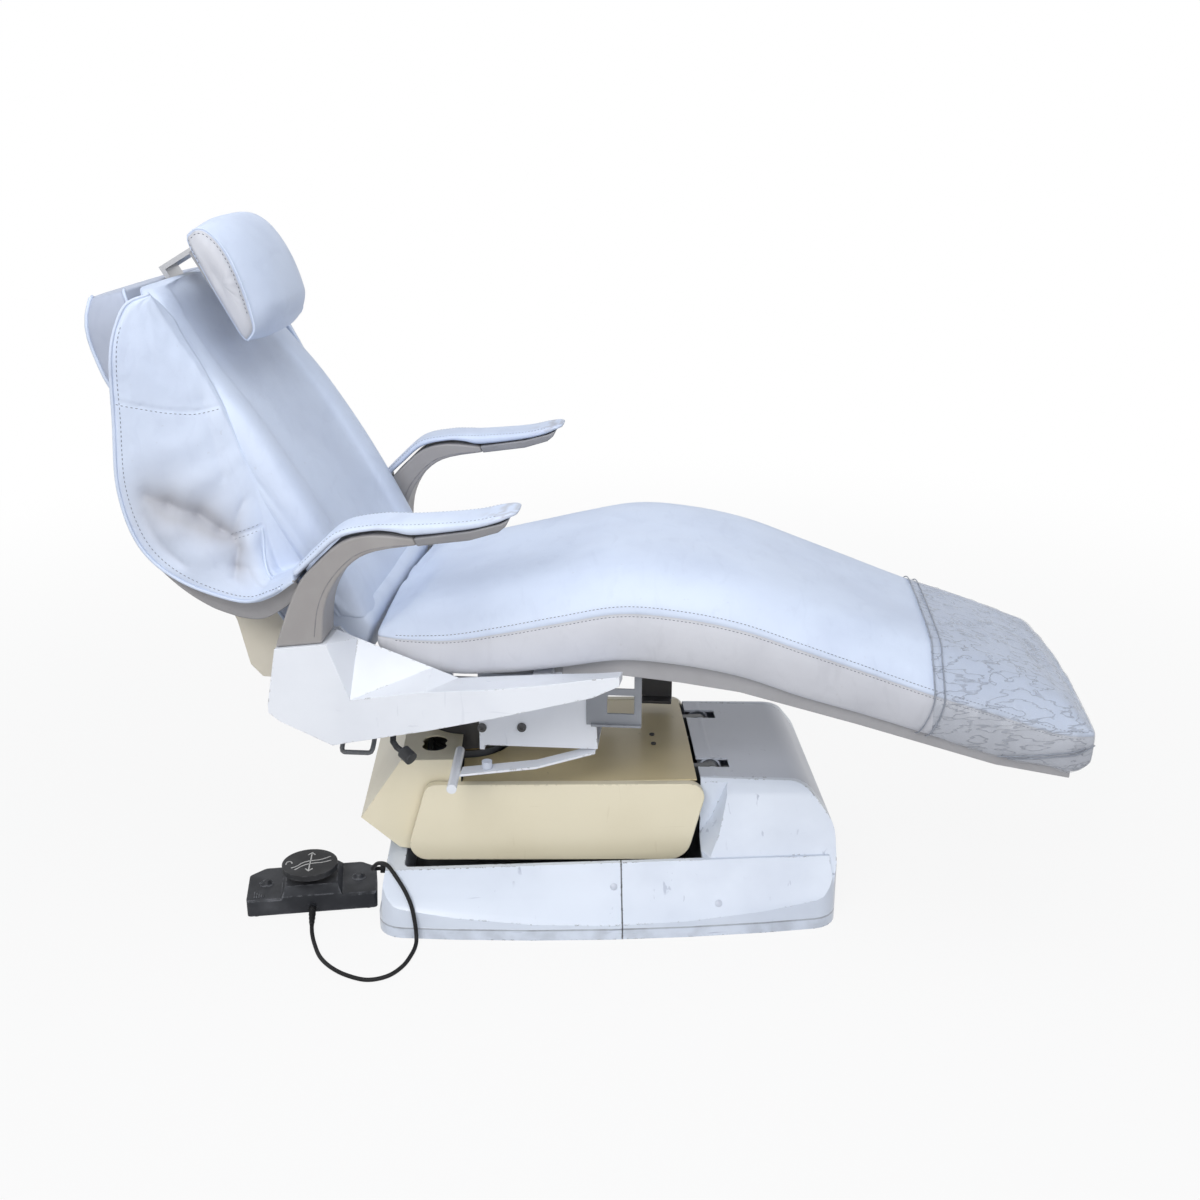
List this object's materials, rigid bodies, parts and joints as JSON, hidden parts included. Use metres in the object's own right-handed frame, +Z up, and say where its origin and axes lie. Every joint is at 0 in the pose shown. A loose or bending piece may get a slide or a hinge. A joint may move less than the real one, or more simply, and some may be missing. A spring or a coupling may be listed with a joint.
{
  "type": "ophthalmic examination chair",
  "caption": "Powered reclining examination chair with a parallelogram lift, swivel seat, curved armrests, side wings, headrest and a corded foot control.",
  "frame": {"origin": "centre of the base on the floor", "axes": "+X towards the foot end of the chair, +Y towards its far side, +Z up"},
  "size_m": [1.6118, 0.7615, 1.1621],
  "materials": {
    "white_paint": "gloss, lightly scuffed",
    "beige_paint": "satin, aged",
    "olive_paint": "satin, aged",
    "grey_paint": "satin",
    "cream_plastic": "satin",
    "frame_steel": "satin",
    "bright_steel": "turned",
    "ram_paint": "gloss",
    "dark_metal": "satin",
    "brass_ring": "turned",
    "white_vinyl": "satin vinyl with a fine grain",
    "pan_board": "matt",
    "clear_vinyl": "clear, wrinkled",
    "arm_shell": "fine texture",
    "tray_plastic": "fine texture",
    "black_plastic": "satin",
    "charcoal_case": "worn, fine texture",
    "black_rubber": "satin"
  },
  "bodies": {
    "base": {"base_plate": "frame_steel", "head_base_cover": "white_paint", "foot_base_cover": "white_paint", "pivot_lid": "grey_paint", "pivot_brackets": "frame_steel", "lift_shaft": "bright_steel", "base_pins": "bright_steel", "cover_caps": "grey_paint", "power_unit": "frame_steel", "mains_inlet": "black_plastic", "pedal_case": "charcoal_case", "pedal_feet": "black_rubber", "cord_grommet": "black_rubber", "control_cord": "black_rubber"},
    "lift_arm": {"lift_beams": "frame_steel", "ram_pin": "bright_steel", "lift_top_cover": "olive_paint", "top_cover_screws": "dark_metal", "near_side_panel": "beige_paint", "far_side_panel": "beige_paint"},
    "level_link": {"level_link": "frame_steel"},
    "carrier": {"carrier_casting": "frame_steel", "rear_cover": "beige_paint", "head_pins": "bright_steel", "swivel_post": "bright_steel", "thrust_ring": "brass_ring"},
    "ram_tube": {"ram_cylinder": "ram_paint"},
    "ram_rod": {"ram_rod": "bright_steel"},
    "seat": {"swivel_drum": "dark_metal", "seat_frame": "white_paint", "frame_screws": "dark_metal", "window_guard": "grey_paint", "far_bracket": "dark_metal", "near_side_cover": "white_paint", "far_side_cover": "white_paint", "rear_hook": "frame_steel", "grip_bracket": "white_paint", "grip_rod": "white_paint", "grip_knob": "grey_paint", "seat_pan": "pan_board", "seat_cushion": "white_vinyl", "toe_cover": "clear_vinyl", "near_arm_frame": "arm_shell", "far_arm_frame": "arm_shell", "arm_trays": "tray_plastic", "near_arm_pad": "white_vinyl", "far_arm_pad": "white_vinyl", "recline_pins": "bright_steel"},
    "brake_lever": {"brake_lever": "black_plastic"},
    "backrest": {"back_frame": "frame_steel", "back_cushion": "white_vinyl", "back_rear_pad": "white_vinyl", "back_shell": "cream_plastic", "near_wing": "white_vinyl", "far_wing": "white_vinyl"},
    "headrest_bar": {"headrest_bar": "bright_steel"},
    "headrest": {"headrest_pan": "pan_board", "headrest_cushion": "white_vinyl"},
    "disc_stem": {"disc_stem": "dark_metal"},
    "pedal_disc": {"pedal_disc": "black_plastic"}
  },
  "joints": [
    {"name": "lift", "type": "hinge", "parent": "base", "child": "lift_arm", "pos_m": [0.185, 0, 0.22], "axis": [0, 1, 0], "range_deg": [0, 40]},
    {"name": "link_turn", "type": "hinge", "parent": "base", "child": "level_link", "pos_m": [0.185, 0, 0.128], "axis": [0, 1, 0], "range_deg": [0, 40]},
    {"name": "carrier_level", "type": "hinge", "parent": "lift_arm", "child": "carrier", "pos_m": [-0.24, 0, 0.202], "axis": [0, 1, 0], "range_deg": [-40, 0]},
    {"name": "ram_swing", "type": "hinge", "parent": "base", "child": "ram_tube", "pos_m": [0.205, 0, 0.06], "axis": [0, 1, 0], "range_deg": [-1, 12]},
    {"name": "ram_stroke", "type": "slide", "parent": "ram_tube", "child": "ram_rod", "axis": [-0.5408, 0, 0.8412], "range_m": [0, 0.045]},
    {"name": "seat_swivel", "type": "hinge", "parent": "carrier", "child": "seat", "pos_m": [-0.24, 0, 0.322], "axis": [0, 0, 1], "range_deg": [-23, 37]},
    {"name": "brake_lever_turn", "type": "hinge", "parent": "seat", "child": "brake_lever", "pos_m": [-0.3411, -0.2321, 0.432], "axis": [0.1262, 0.992, 0], "range_deg": [-12, 12]},
    {"name": "recline", "type": "hinge", "parent": "seat", "child": "backrest", "pos_m": [-0.44832, 0.0265, 0.52], "axis": [0.1262, 0.992, 0], "range_deg": [-48, 12]},
    {"name": "headrest_height", "type": "slide", "parent": "backrest", "child": "headrest_bar", "axis": [-0.496, 0.0631, 0.866], "range_m": [0, 0.11]},
    {"name": "headrest_tilt", "type": "hinge", "parent": "headrest_bar", "child": "headrest", "pos_m": [-0.6463, 0.05169, 1.11568], "axis": [0.1262, 0.992, 0], "range_deg": [-30, 10]},
    {"name": "disc_rock_across", "type": "hinge", "parent": "base", "child": "disc_stem", "pos_m": [-0.5183, -0.1306, 0.024], "axis": [0.9943, 0.1063, 0], "range_deg": [-4, 4], "stiffness_Nm_per_rad": 3},
    {"name": "disc_rock_along", "type": "hinge", "parent": "disc_stem", "child": "pedal_disc", "pos_m": [-0.5183, -0.1306, 0.055], "axis": [-0.1063, 0.9943, 0], "range_deg": [-4, 4], "stiffness_Nm_per_rad": 3}
  ],
  "couplings": [
    {"joint": "link_turn", "follows": "lift", "ratio": 1},
    {"joint": "carrier_level", "follows": "lift", "ratio": -1},
    {"joint": "ram_swing", "follows": "lift", "ratio": 0.25091},
    {"joint": "ram_stroke", "follows": "lift", "m_per_rad": 0.060325}
  ]
}
